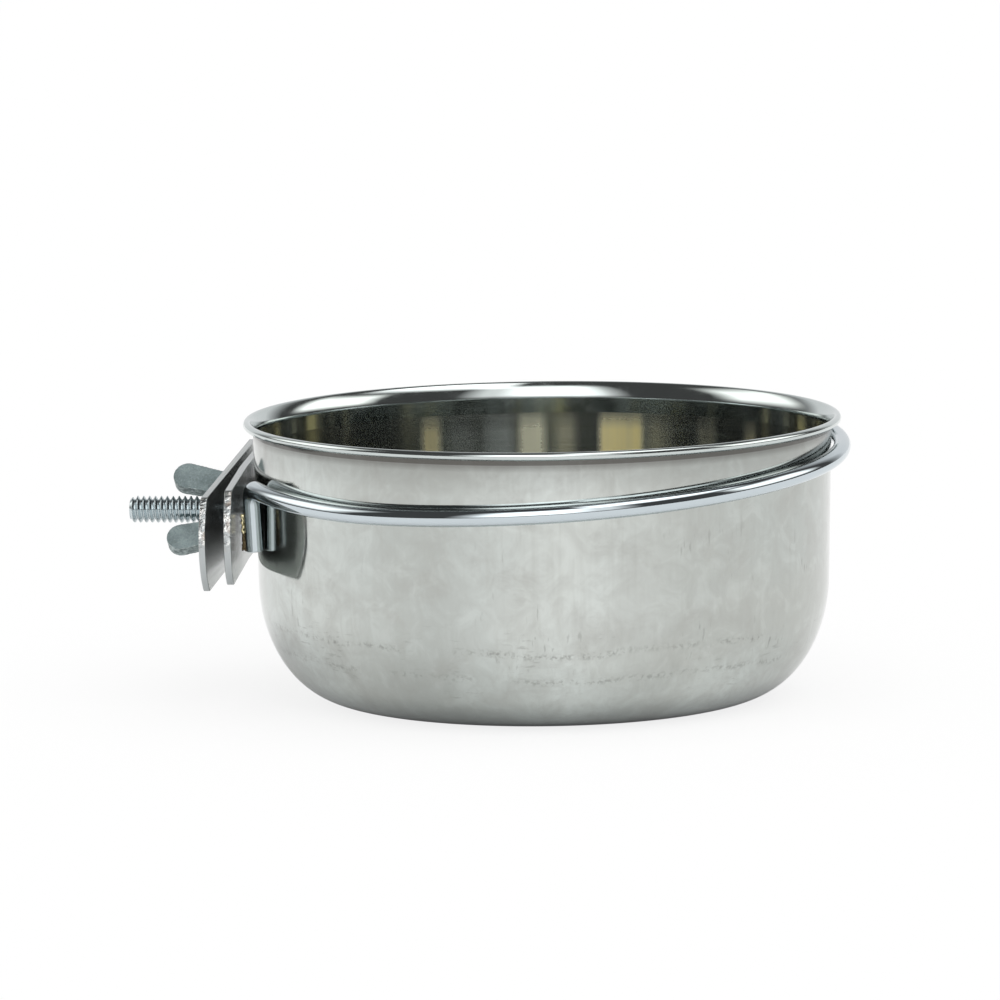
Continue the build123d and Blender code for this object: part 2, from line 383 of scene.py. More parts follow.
# %% [markdown]
# ## Finishes
# Every finish is a procedural material on Object coordinates, which are metres from the
# centre of the cup's base, because each piece keeps its place in its mesh. So the heights
# among the finishes are in metres. A noise that is squeezed along one axis gives streaks, a
# plain one gives smudges, and a noise cut off near its top gives specks.

# %% Helpers for finishes
def new_finish(name, colour, metallic, roughness):
    """A Principled material, its tree, its shader's inputs and its Object coordinates."""
    material = bpy.data.materials.new(name)
    material.use_nodes = True
    tree = material.node_tree
    shader = tree.nodes["Principled BSDF"].inputs
    shader["Base Color"].default_value = (*colour, 1.0)
    shader["Metallic"].default_value = metallic
    shader["Roughness"].default_value = roughness
    return material, tree, shader, tree.nodes.new("ShaderNodeTexCoord").outputs["Object"]


def stretched(tree, place, scale):
    """The coordinates scaled along each axis."""
    inputs = {0: place, 1: scale}
    return add_node(tree, "ShaderNodeVectorMath", inputs, operation="MULTIPLY").outputs["Vector"]


def noise(tree, place, scale, detail=2.0, roughness=0.5, distortion=0.0):
    """A noise texture's value."""
    inputs = {
        "Vector": place,
        "Scale": scale,
        "Detail": detail,
        "Roughness": roughness,
        "Distortion": distortion,
    }
    return add_node(tree, "ShaderNodeTexNoise", inputs).outputs["Fac"]


def blended(tree, factor, first, second):
    """A mix of two colours, of which the first may be an output."""
    if not isinstance(first, bpy.types.NodeSocket):
        first = (*first, 1.0)
    inputs = {0: factor, 6: first, 7: (*second, 1.0)}
    return add_node(tree, "ShaderNodeMix", inputs, data_type="RGBA").outputs[2]


def bumped(tree, shader, height, strength, distance):
    """Roughens the surface's normal with a height."""
    inputs = {"Strength": strength, "Distance": distance, "Height": height}
    feed(tree, shader["Normal"], add_node(tree, "ShaderNodeBump", inputs).outputs["Normal"])


def turn_about(tree, place, side):
    """Degrees round the cup, from the side next to the camera (-1) or from the far side (1)."""
    spot = parts_of(tree, place)
    heading = math_node(tree, "ARCTAN2", spot["X"], product(tree, spot["Y"], side))
    return math_node(tree, "DEGREES", math_node(tree, "ADD", heading, side * VIEW_TURN))


def bands(tree, angle, places):
    """Strength of upright bands: each has a middle, a half width, a soft edge and a strength."""
    total = 0.0
    for middle, half, soft, strength in places:
        total = highest(tree, product(tree, within(tree, angle, middle, half, soft), strength), total)
    return total


# %% [markdown]
# ### Drawn steel
# The outside of the cup was drawn through a die and polished by hand. It is bright but
# cloudy: soft grey and warm smudges, upright bands of painted reflection that are lighter
# where bright parts of the room would be mirrored, and hairlines from the die. Each is one
# noise or one band that shifts the tint.

# %% Clouds and painted reflection bands of the drawn steel
# Each painted reflection band: its middle, half width and soft edge in degrees, and its strength
REFLECTION_BANDS = (
    (4.5, 12.0, 13.0, 1.0),
    (-58.0, 14.0, 14.0, 0.75),
    (118.0, 20.0, 20.0, 0.8),
    (-150.0, 16.0, 16.0, 0.8),
)
FOOT_REFLECTION_BANDS = ((38.0, 14.0, 12.0, 0.8),)
FOOT_BAND_TOP = (0.006, 0.015)

drawn_steel, tree, shader, place = new_finish("drawn steel", (0.54, 0.56, 0.53), 1.0, 0.07)
height = parts_of(tree, place)["Z"]
round_outside = turn_about(tree, place, -1.0)
low_wall = ranged(tree, height, *FOOT_BAND_TOP, 1.0, 0.0)
# Painted reflection: the tint is lighter in these upright bands, and low on the wall in the foot's band
foot_reflection = product(tree, bands(tree, round_outside, FOOT_REFLECTION_BANDS), low_wall)
painted_reflection = highest(tree, bands(tree, round_outside, REFLECTION_BANDS), foot_reflection)
smudges = noise(tree, place, 110.0, 5.0, 0.62, 0.7)
patches = noise(tree, place, 30.0, 2.0, 0.5, 0.8)
clouds = noise(tree, place, 190.0, 4.0, 0.6, 1.3)
hairlines = noise(tree, stretched(tree, place, (1.0, 1.0, 0.05)), 850.0, 2.0, 0.6)
tint = blended(tree, painted_reflection, (0.505, 0.533, 0.510), (0.712, 0.752, 0.728))
tint = blended(tree, ranged(tree, patches, 0.42, 0.66, 0.0, 0.30), tint, (0.490, 0.488, 0.450))
tint = blended(tree, ranged(tree, smudges, 0.48, 0.68, 0.0, 0.50), tint, (0.430, 0.432, 0.408))
tint = blended(tree, ranged(tree, clouds, 0.36, 0.62, 0.26, 0.0), tint, (0.375, 0.375, 0.355))
tint = blended(tree, ranged(tree, clouds, 0.54, 0.76, 0.0, 0.25), tint, (0.66, 0.69, 0.67))
tint = blended(tree, ranged(tree, hairlines, 0.50, 0.80, 0.0, 0.30), tint, (0.44, 0.45, 0.42))
print("drawn steel:", len(tree.nodes), "nodes for clouds and bands")

# %% [markdown]
# Low on the wall the cup is marked. Two broken lines of specks run where the draw ended, level
# rubs lie round them, and short upright ticks stand from there up to the middle of the wall.
# Each kind of mark is a noise that shows only in its own range of heights.

# %% Marks low on the drawn steel
# Each draw line: its height and its strength
DRAW_LINES = ((0.0148, 1.0), (0.0102, 0.8))
LINE_HALF = 0.00045
LINE_SOFT = 0.00035
LINE_WANDER = 0.0008
RUBS_FROM = (0.004, 0.008)
RUBS_TO = (0.015, 0.022)
TICKS_FROM = (0.010, 0.014)
TICKS_TO = (0.026, 0.040)
MARK_SHARE = 0.52

specks = ranged(tree, noise(tree, place, 1300.0, 2.0, 0.6), 0.48, 0.62)
broken = product(tree, specks, ranged(tree, noise(tree, place, 120.0), 0.40, 0.54))
wander = ranged(tree, noise(tree, place, 60.0), 0.3, 0.7, -LINE_WANDER, LINE_WANDER)
wandering = math_node(tree, "ADD", height, wander)
marks = 0.0
for line_height, strength in DRAW_LINES:
    line = product(tree, within(tree, wandering, line_height, LINE_HALF, LINE_SOFT), strength)
    marks = highest(tree, product(tree, line, broken), marks)
rubs = ranged(tree, noise(tree, stretched(tree, place, (1.0, 1.0, 5.0)), 330.0, 3.0, 0.6), 0.58, 0.72)
ticks = ranged(tree, noise(tree, stretched(tree, place, (1.0, 1.0, 0.2)), 1350.0, 2.0, 0.55), 0.62, 0.72)
for mark, patch_scale, start, end in ((rubs, 95.0, RUBS_FROM, RUBS_TO), (ticks, 70.0, TICKS_FROM, TICKS_TO)):
    zone = product(tree, ranged(tree, height, *start), ranged(tree, height, *end, 1.0, 0.0))
    patch = ranged(tree, noise(tree, place, patch_scale), 0.50, 0.62)
    marks = highest(tree, marks, product(tree, mark, patch, zone))
tint = blended(tree, product(tree, marks, MARK_SHARE), tint, (0.22, 0.22, 0.205))
print("drawn steel:", len(tree.nodes), "nodes with marks")

# %% [markdown]
# The foot is painted darker and a little blue as the shade of the table, and its sole is
# painted near black as the contact shadow on the floor. Under the rolled bead the crease is
# painted dark as shade, which thins out down the wall.

# %% Painted shade on the foot, the sole and the crease of the drawn steel
FOOT_TOP = 0.0055
CONTACT_SHADOW_EDGE = (0.0004, 0.0012)
CREASE_HEIGHT = 0.0468
# Each part of the painted shade at the crease: where it starts and ends above its height, and how dark it
# ends
UNDER_BEAD = (0.0006, 0.0013, 0.94)
ABOVE_FOOT = (0.0, 0.0003, 0.82)
SHADE_DOWN_WALL = (-0.0050, 0.0, 0.30)
SHADE_EDGE_DOWN_WALL = (-0.0010, 0.0, 0.26)

# Painted shade: darker and bluer low on the foot
tint = blended(tree, ranged(tree, height, 0.0, FOOT_TOP, 0.42, 0.0), tint, (0.22, 0.25, 0.265))
# Painted shadow: a near black line at the sole, where the cup meets the floor
tint = blended(tree, ranged(tree, height, *CONTACT_SHADOW_EDGE, 0.95, 0.0), tint, (0.02, 0.024, 0.03))
under_bead, above_foot, shade_down_wall, shade_edge_down_wall = [
    ranged(tree, height, CREASE_HEIGHT + start, CREASE_HEIGHT + end, 0.0, dark)
    for start, end, dark in (UNDER_BEAD, ABOVE_FOOT, SHADE_DOWN_WALL, SHADE_EDGE_DOWN_WALL)
]
# Painted shade under the rolled bead and down the wall below the crease
crease = highest(tree, math_node(tree, "ADD", shade_down_wall, shade_edge_down_wall), under_bead, above_foot)
tint = blended(tree, crease, tint, (0.052, 0.043, 0.037))
dull = ranged(tree, smudges, 0.35, 0.70, 0.045, 0.12)
feed(tree, shader["Base Color"], tint)
feed(tree, shader["Roughness"], math_node(tree, "ADD", dull, product(tree, crease, 0.2)))
bumped(tree, shader, hairlines, 0.04, 0.0002)
print("drawn steel:", len(tree.nodes), "nodes in all")

# %% [markdown]
# ### Spun inside and bright lip
# The inside kept the fine rings of the polishing wheel: a noise squeezed flat, so that it
# changes quickly with height and slowly round the cup. Both sides are painted darker as
# shade. Upright streaks of painted reflection, some warm and some cool, are lighter and
# less metal where bright parts of the room would be mirrored, and they fade towards the
# floor of the cup. The lip and the rolled bead were buffed to a mirror.

# %% Spun steel for the inside, and the bright lip
# Each painted reflection streak and painted shaded side: its middle, half width and soft edge in degrees,
# and its strength
WARM_REFLECTIONS = (
    (16.8, 4.7, 0.9, 1.0),
    (24.6, 2.6, 2.2, 0.32),
    (-23.8, 2.1, 0.9, 0.66),
    (-2.2, 2.7, 1.1, 0.62),
    (5.0, 2.0, 1.2, 0.28),
    (36.5, 2.2, 1.0, 0.26),
    (48.5, 1.7, 0.9, 0.42),
    (-70.0, 3.0, 1.5, 0.2),
    (95.0, 4.0, 2.0, 0.3),
)
COOL_REFLECTIONS = (
    (-2.2, 2.7, 1.1, 0.34),
    (-9.0, 3.5, 2.0, 0.26),
    (-17.0, 4.0, 2.4, 0.15),
    (-130.0, 5.0, 2.0, 0.2),
    (150.0, 4.0, 2.0, 0.2),
)
SHADED_SIDES = (
    (-65.0, 13.0, 7.0, 0.75),
    (64.0, 14.0, 8.0, 0.70),
)
STREAK_FOOT = (0.015, 0.035)
STREAK_TOP = (0.0408, 0.0452)

spun_steel, tree, shader, place = new_finish("spun steel", (0.56, 0.56, 0.52), 0.97, 0.18)
rings = noise(tree, stretched(tree, place, (0.02, 0.02, 1.0)), 2600.0, 3.0, 0.6)
haze = noise(tree, place, 60.0, 3.0, 0.55, 0.5)
combed = noise(tree, stretched(tree, place, (1.0, 1.0, 0.02)), 420.0, 2.0, 0.6)
round_inside = turn_about(tree, place, 1.0)
height = parts_of(tree, place)["Z"]
on_wall = ranged(tree, height, *STREAK_FOOT)
below_lip = ranged(tree, height, *STREAK_TOP, 1.0, 0.0)
deep = product(tree, below_lip, on_wall, ranged(tree, combed, 0.30, 0.62, 0.80, 1.0))
# Painted reflection: warm and cool upright streaks where bright parts of the room would be mirrored
warm_reflection = product(tree, bands(tree, round_inside, WARM_REFLECTIONS), deep)
cool_reflection = product(tree, bands(tree, round_inside, COOL_REFLECTIONS), deep)
# Painted shade: both sides of the inside are darkened
dark = product(tree, bands(tree, round_inside, SHADED_SIDES), on_wall)
reflection_streaks = highest(tree, warm_reflection, cool_reflection)
tint = blended(tree, ranged(tree, haze, 0.40, 0.70), (0.53, 0.55, 0.53), (0.47, 0.48, 0.455))
tint = blended(tree, dark, tint, (0.22, 0.25, 0.255))
tint = blended(tree, warm_reflection, tint, (0.97, 0.84, 0.40))
tint = blended(tree, cool_reflection, tint, (0.80, 0.89, 0.89))
brushed = ranged(tree, rings, 0.35, 0.65, 0.11, 0.15)
feed(tree, shader["Base Color"], tint)
feed(tree, shader["Metallic"], ranged(tree, reflection_streaks, 0.0, 1.0, 0.99, 0.55))
feed(tree, shader["Roughness"], math_node(tree, "ADD", brushed, product(tree, reflection_streaks, 0.30)))

bright_lip, tree, shader, place = new_finish("bright lip", (0.585, 0.63, 0.62), 1.0, 0.10)
wear = noise(tree, place, 260.0, 3.0, 0.6)
feed(tree, shader["Roughness"], ranged(tree, wear, 0.40, 0.75, 0.08, 0.17))
print("spun steel and bright lip ready")

# %% [markdown]
# ### Wire and strip
# The ring is bright chromed wire, so it gets a low roughness and only faint handling marks.
# The jaws are cut from rolled strip: smooth faces with long grain, and cut edges that the
# shear left smooth below and torn, pitted and a little rusty above, with painted glints of
# light in the torn part.

# %% Wire and strip finishes
TEAR_START = (0.0290, 0.0306)

bright_wire, tree, shader, place = new_finish("bright wire", (0.580, 0.640, 0.672), 1.0, 0.05)
wear = noise(tree, place, 420.0, 3.0, 0.6)
feed(tree, shader["Roughness"], ranged(tree, wear, 0.45, 0.75, 0.035, 0.12))

jaw_strip, tree, shader, place = new_finish("jaw strip", (0.480, 0.495, 0.490), 0.94, 0.24)
grain = noise(tree, stretched(tree, place, (1.0, 0.04, 1.0)), 1500.0, 2.0, 0.6)
feed(tree, shader["Roughness"], ranged(tree, grain, 0.35, 0.70, 0.22, 0.26))
bumped(tree, shader, grain, 0.006, 0.0001)

sheared_edge, tree, shader, place = new_finish("sheared edge", (0.66, 0.655, 0.64), 1.0, 0.26)
torn = noise(tree, stretched(tree, place, (0.7, 1.0, 1.0)), 1250.0, 3.0, 0.6)
tear = ranged(tree, parts_of(tree, place)["Z"], *TEAR_START)
rust = product(tree, ranged(tree, noise(tree, place, 380.0), 0.50, 0.66, 0.0, 0.55), tear)
# Painted highlight: bright specks in the torn part stand for glints of light off its facets
painted_glints = product(tree, ranged(tree, torn, 0.52, 0.66), tear)
pits = product(tree, ranged(tree, torn, 0.32, 0.44, 0.7, 0.0), tear)
tint = blended(tree, rust, (0.47, 0.495, 0.50), (0.40, 0.29, 0.21))
tint = blended(tree, painted_glints, tint, (0.92, 0.92, 0.90))
tint = blended(tree, pits, tint, (0.26, 0.24, 0.21))
feed(tree, shader["Base Color"], tint)
feed(tree, shader["Roughness"], ranged(tree, tear, 0.0, 1.0, 0.20, 0.27))
bumped(tree, shader, product(tree, torn, tear), 0.9, 0.0005)
print("wire and strip ready")

# %% [markdown]
# ### Zinc and brass
# The stud is plated with bright zinc, and the nut is cast in zinc and dull: blotched faces
# with grit, porous rims, and edges that fingers rubbed bright. Brass shows bright where its
# drops froze, and its film is painted nearly black as the shade in the gap.

# %% Zinc and brass finishes
zinc_plate, tree, shader, place = new_finish("zinc plate", (0.57, 0.63, 0.65), 1.0, 0.14)
dull = noise(tree, place, 700.0, 3.0, 0.6)
feed(tree, shader["Roughness"], ranged(tree, dull, 0.40, 0.70, 0.08, 0.22))

cast_zinc, tree, shader, place = new_finish("cast zinc", (0.29, 0.315, 0.315), 0.55, 0.55)
skin = noise(tree, place, 900.0, 4.0, 0.65)
blotch = noise(tree, place, 260.0, 3.0, 0.6)
grit = noise(tree, place, 3000.0, 2.0, 0.6)
tint = blended(tree, ranged(tree, blotch, 0.38, 0.66), (0.205, 0.255, 0.258), (0.320, 0.390, 0.395))
tint = blended(tree, ranged(tree, grit, 0.54, 0.70, 0.0, 0.28), tint, (0.50, 0.57, 0.57))
tint = blended(tree, ranged(tree, grit, 0.32, 0.44, 0.40, 0.0), tint, (0.11, 0.14, 0.14))
feed(tree, shader["Base Color"], tint)
bumped(tree, shader, math_node(tree, "ADD", skin, product(tree, grit, 0.6)), 0.40, 0.0003)

cast_rim, tree, shader, place = new_finish("cast rim", (0.42, 0.45, 0.44), 0.5, 0.5)
pores = noise(tree, place, 1500.0, 3.0, 0.65)
tint = blended(tree, ranged(tree, pores, 0.38, 0.64), (0.135, 0.170, 0.170), (0.40, 0.465, 0.46))
feed(tree, shader["Base Color"], tint)
bumped(tree, shader, pores, 0.40, 0.0003)

worn_edge, tree, shader, place = new_finish("worn edge", (0.62, 0.65, 0.64), 0.7, 0.4)
rubbed = noise(tree, place, 900.0, 2.0, 0.6)
tint = blended(tree, ranged(tree, rubbed, 0.46, 0.62), (0.25, 0.30, 0.30), (0.66, 0.72, 0.71))
feed(tree, shader["Base Color"], tint)

brass, tree, shader, place = new_finish("bright brass", (0.86, 0.76, 0.47), 1.0, 0.18)
chill = noise(tree, place, 1800.0, 2.0, 0.6)
feed(tree, shader["Roughness"], ranged(tree, chill, 0.40, 0.70, 0.12, 0.32))

# Painted shade: the brass film in the gap between jaw and leg is coloured nearly black for the shade there
shaded_brass, tree, shader, place = new_finish("shaded brass", (0.16, 0.12, 0.06), 0.6, 0.5)
film_mottle = noise(tree, place, 1200.0, 3.0, 0.6)
tint = blended(tree, ranged(tree, film_mottle, 0.42, 0.62), (0.20, 0.15, 0.075), (0.05, 0.038, 0.022))
feed(tree, shader["Base Color"], tint)
bumped(tree, shader, film_mottle, 0.35, 0.0003)
print("zinc and brass ready")

# %% [markdown]
# ## The cup
# A drawn cup is the same all the way round, so one half section is enough: flat base, long
# elliptical corner, nearly straight wall, flare and rolled bead. Geometry Nodes sweeps that
# section round a circle. Each point of the section carries its number, so the tree can tell
# the inside, the lip and the outside apart and give each its finish.

# %% Half section of the cup
BASE_STEPS = 6
INNER_CORNER_STEPS = 36
OUTER_CORNER_STEPS = 40
INNER_WALL_STEPS = 10
OUTER_WALL_STEPS = 12
LIP_STEPS = 24
FLARE_STEPS = 48
BEAD_STEPS = 30


def ellipse(width, rise, steps):
    """Points of the corner from the flat base up to the wall."""
    turns = evenly(0.0, pi / 2, steps)
    return [(BASE_RADIUS + width * sin(t), CORNER_HEIGHT - rise * cos(t)) for t in turns]


def straight(start, end, steps):
    """Evenly spaced points from a start to just before an end."""
    return [tuple(Vector(start).lerp(Vector(end), step / steps)) for step in range(steps)]


bead = Vector((RIM_RADIUS - BEAD_RADIUS, CUP_HEIGHT - BEAD_RADIUS))
lip_end = bead + Vector((-cos(LIP_TURN), sin(LIP_TURN))) * BEAD_RADIUS
inner_base = WALL_RADIUS - SHEET - CORNER_HEIGHT * tan(DRAFT)
gain = (sin(LIP_TURN) - sin(DRAFT)) / (cos(DRAFT) - cos(LIP_TURN))
lip_height = (lip_end.y - gain * (lip_end.x - inner_base)) / (1.0 - gain * tan(DRAFT))
lip_start = Vector((inner_base + lip_height * tan(DRAFT), lip_height))
lip_radius = (lip_end.y - lip_height) / (sin(LIP_TURN) - sin(DRAFT))
lip_centre = lip_start + Vector((cos(DRAFT), -sin(DRAFT))) * lip_radius


def lip_curve(radius, steps):
    """Points of the flare about its centre, from the wall up to the bead."""
    return [lip_centre + Vector((-cos(t), sin(t))) * radius for t in evenly(DRAFT, LIP_TURN, steps)]


inside = straight((0.0, SHEET), (BASE_RADIUS, SHEET), BASE_STEPS)
inside += ellipse(WALL_RADIUS - BASE_RADIUS - SHEET, CORNER_HEIGHT - SHEET, INNER_CORNER_STEPS)
inside += straight(inside[-1], lip_start, INNER_WALL_STEPS)[1:]
lip = lip_curve(lip_radius, LIP_STEPS)
outer_flare = [p for p in lip_curve(lip_radius - SHEET, FLARE_STEPS) if (p - bead).length > BEAD_RADIUS]
roll_end = atan2(outer_flare[-1].y - bead.y, outer_flare[-1].x - bead.x)
for turn in evenly(pi - LIP_TURN, roll_end, BEAD_STEPS)[1:]:
    lip.append(bead + Vector((cos(turn), sin(turn))) * BEAD_RADIUS)
outside = outer_flare[::-1]
outside += straight(outer_flare[0], (WALL_RADIUS, CORNER_HEIGHT), OUTER_WALL_STEPS)[1:]
outside += ellipse(WALL_RADIUS - BASE_RADIUS, CORNER_HEIGHT, OUTER_CORNER_STEPS)[::-1]
outside += straight((BASE_RADIUS, 0.0), (0.0, 0.0), BASE_STEPS)[1:] + [(0.0, 0.0)]
section = inside + lip + outside
print(len(section), "points in the section, lip at", len(inside), "to", len(inside) + len(lip))

# %% Tree that sweeps a section round
spin, given, result = geometry_tree(
    "spin a section",
    {
        "Segments": "Int",
        "Radius": "Float",
        "Lip From": "Float",
        "Lip To": "Float",
        "Inside": "Material",
        "Lip": "Material",
        "Outside": "Material",
    },
)
keep = add_node(
    spin,
    "GeometryNodeStoreNamedAttribute",
    {
        "Geometry": given["Geometry"],
        "Name": "along",
        "Value": spin.nodes.new("GeometryNodeSplineParameter").outputs["Index"],
    },
    data_type="FLOAT",
    domain="POINT",
)
circle = add_node(
    spin, "GeometryNodeCurvePrimitiveCircle", {"Resolution": given["Segments"], "Radius": given["Radius"]}
)
sweep = add_node(spin, "GeometryNodeCurveToMesh", {"Profile Curve": keep.outputs["Geometry"]})
weld = add_node(spin, "GeometryNodeMergeByDistance", {"Distance": WELD * MM})
chain(spin, circle, sweep, weld)
along = add_node(spin, "GeometryNodeInputNamedAttribute", {"Name": "along"}, data_type="FLOAT")
number = along.outputs["Attribute"]
past_inside = math_node(spin, "GREATER_THAN", number, given["Lip From"])
past_lip = math_node(spin, "GREATER_THAN", number, given["Lip To"])
finishes = ((given["Inside"], True), (given["Lip"], past_inside), (given["Outside"], past_lip))
finish_tree(spin, weld, finishes, result)
print("spin a section:", len(spin.nodes), "nodes")

# %% The cup itself
SPIN_RADIUS = 100.0
CUP_SEGMENTS = 288
# A face's number lies halfway between those of its two points, and the lip's bounds keep off it
BOUND_MARGIN = 0.25


def spin_curve(name, points):
    """A section's curve, set off from the circle that it is swept along."""
    return poly_curve(name, [(r - SPIN_RADIUS, -z, 0.0) for r, z in points])


cup = grow(
    "cup_shell",
    spin_curve("cup section", section),
    spin,
    {
        "Segments": CUP_SEGMENTS,
        "Radius": SPIN_RADIUS * MM,
        "Lip From": len(inside) - 0.5 - BOUND_MARGIN,
        "Lip To": len(inside) + len(lip) - 1.5 + BOUND_MARGIN,
        "Inside": spun_steel,
        "Lip": bright_lip,
        "Outside": drawn_steel,
    },
)
stand_for(cup, "cup", "bowl")

# %% [markdown]
# ## The holder ring
# One wire makes the whole holder: a loop round the cup whose ends turn down into two legs.
# The line it follows is drawn in the ring's own plane and then tilted. Geometry Nodes sweeps
# a circle along it, and each point's radius shrinks over the last third of a millimetre, so
# that the cut ends come out rounded.

# %% Line of the wire
LEG_BEND = 3.0
LEG_INSET = 12.45
END_LIFT = 0.7
LIFT_ANGLE = radians(36.0)
LEG_LENGTH = 7.5 + END_LIFT
LEG_ROUND = 0.3
BEND_STEPS = 18
ROUND_STEPS = 8
LOOP_STEPS = 300

tilt = hypot(RING_PITCH, RING_DROP)
wall_at_ring = wall_radius(RING_HEIGHT + RIM_RADIUS * sin(tilt))
ring_radius = (wall_at_ring + RING_CLEARANCE + WIRE_RADIUS) / cos(tilt)
leg_angle = asin((JAW_LENGTH / 2 - LEG_INSET) / ring_radius)
loop_end = pi - leg_angle - LEG_BEND / ring_radius
front_end = CLAMP_YAW - loop_end
rear_end = CLAMP_YAW + loop_end


def leg_line(turn, way):
    """Points and radii of a bend and a leg, from the loop's end to the cut."""
    start = Vector((ring_radius * cos(turn), ring_radius * sin(turn), END_LIFT))
    away = Vector((-sin(turn), cos(turn), 0.0)) * way
    down = Vector((0.0, 0.0, -1.0))
    line = []
    for bend in evenly(0.0, pi / 2, BEND_STEPS)[1:]:
        line.append((start + away * LEG_BEND * sin(bend) + down * LEG_BEND * (1 - cos(bend)), 1.0))
    top = line[-1][0]
    for part in evenly(0.0, 1.0, 4)[1:-1]:
        line.append((top + down * (LEG_LENGTH - LEG_ROUND) * part, 1.0))
    for turn_in in evenly(0.0, pi / 2, ROUND_STEPS):
        drop = LEG_LENGTH - LEG_ROUND + LEG_ROUND * sin(turn_in)
        line.append((top + down * drop, (WIRE_RADIUS - LEG_ROUND + LEG_ROUND * cos(turn_in)) / WIRE_RADIUS))
    return line


def end_lift(turn):
    """How far the wire rises out of the ring's plane near the ends of the loop."""
    near = max(0.0, 1.0 - min(turn - front_end, rear_end - turn) / LIFT_ANGLE)
    return END_LIFT * near * near * (3.0 - 2.0 * near)


loop = []
for turn in evenly(front_end, rear_end, LOOP_STEPS):
    loop.append((Vector((ring_radius * cos(turn), ring_radius * sin(turn), end_lift(turn))), 1.0))
wire_line = leg_line(front_end, -1.0)[::-1] + loop + leg_line(rear_end, 1.0)
ring_turn = Matrix.Rotation(RING_PITCH, 3, "X") @ Matrix.Rotation(-RING_DROP, 3, "Y")
ring_points = [ring_turn @ point + Vector((0.0, 0.0, RING_HEIGHT)) for point, scale in wire_line]
print(f"ring radius {ring_radius:.2f} mm, {len(wire_line)} points")

# %% Sweep the wire with Geometry Nodes
WIRE_SIDES = 40

draw_wire, given, result = geometry_tree(
    "draw a wire", {"Wire Radius": "Float", "Sides": "Int", "Finish": "Material"}
)
circle = add_node(
    draw_wire,
    "GeometryNodeCurvePrimitiveCircle",
    {"Resolution": given["Sides"], "Radius": given["Wire Radius"]},
)
sweep = add_node(
    draw_wire,
    "GeometryNodeCurveToMesh",
    {
        "Curve": given["Geometry"],
        "Profile Curve": circle.outputs["Curve"],
        "Scale": draw_wire.nodes.new("GeometryNodeInputRadius").outputs["Radius"],
        "Fill Caps": True,
    },
)
finish_tree(draw_wire, sweep, ((given["Finish"], True),), result)

holder_ring = grow(
    "ring_wire",
    poly_curve("ring line", ring_points, [scale for point, scale in wire_line]),
    draw_wire,
    {"Wire Radius": WIRE_RADIUS * MM, "Sides": WIRE_SIDES, "Finish": bright_wire},
)
stand_for(holder_ring, "holder_ring", "holder")

# %% [markdown]
# ## The jaws
# Both jaws are cut from the same strip: two long sides, two bowed ends, small round corners
# and a hole for the stud. A flat filled curve with a little extrusion and bevel makes such a
# blank. Once it is a mesh, it is cut just off the middle, each half is sheared by a lean of its
# own, and it gets its place. The leans turn and bend the inner jaw, and the outer one has none
# and stays flat. The faces at both ends are the torn cut edges.

# %% Blank of a jaw
JAW_WIDTH = 16.6
JAW_SAG = 3.8
JAW_CORNER = 1.0
JAW_EDGE = 0.15
HOLE_RISE = 0.3
HOLE_OFFSET = 0.5
HOLE_SIDES = 48
END_STEPS = 12
CORNER_STEPS = 8
EDGE_STEPS = 2


def jaw_outline():
    """Corner-rounded outline of a jaw, anticlockwise."""
    side = JAW_WIDTH / 2
    bow = (JAW_SAG**2 + side**2) / (2 * JAW_SAG)
    centre = JAW_LENGTH / 2 - bow
    inner_swing = asin((side - JAW_CORNER) / (bow - JAW_CORNER))
    corner = Vector((centre + (bow - JAW_CORNER) * cos(inner_swing), side - JAW_CORNER))
    quarter = [Vector((centre + bow * cos(t), bow * sin(t))) for t in evenly(0.0, inner_swing, END_STEPS)]
    for turn in evenly(inner_swing, pi / 2, CORNER_STEPS)[1:]:
        quarter.append(corner + Vector((cos(turn), sin(turn))) * JAW_CORNER)
    upper = quarter + [Vector((-p.x, p.y)) for p in quarter[::-1]]
    lower = [Vector((p.x, -p.y)) for p in upper[::-1]]
    return upper + lower[1:-1]


def jaw_mesh(name, hole_radius, thickness):
    """A flat jaw in its own plane, lengthways along X, as a plain mesh."""
    outline = [point - Vector((HOLE_OFFSET, HOLE_RISE)) for point in jaw_outline()]
    hole = [Vector((cos(t), sin(t))) * hole_radius for t in evenly(0.0, 2 * pi, HOLE_SIDES)[:-1]]
    curve = bpy.data.curves.new(name, "CURVE")
    curve.dimensions = "2D"
    curve.fill_mode = "BOTH"
    curve.extrude = (thickness / 2 - JAW_EDGE) * MM
    curve.bevel_depth = JAW_EDGE * MM
    curve.bevel_resolution = EDGE_STEPS
    curve.offset = -JAW_EDGE * MM
    for points in (outline, hole[::-1]):
        spline = curve.splines.new("POLY")
        spline.points.add(len(points) - 1)
        for index, point in enumerate(points):
            spline.points[index].co = (point.x * MM, point.y * MM, 0.0, 1.0)
        spline.use_cyclic_u = True
    return evaluated_mesh(put_in_scene(name + " blank", curve), name)


# %% Crease and place of a jaw
CREASE_PLACE = -1.5
CREASE_ROUND = 0.2
CREASE_CUTS = (-0.5, -0.25, 0.0, 0.25, 0.5)
FACING = 0.5


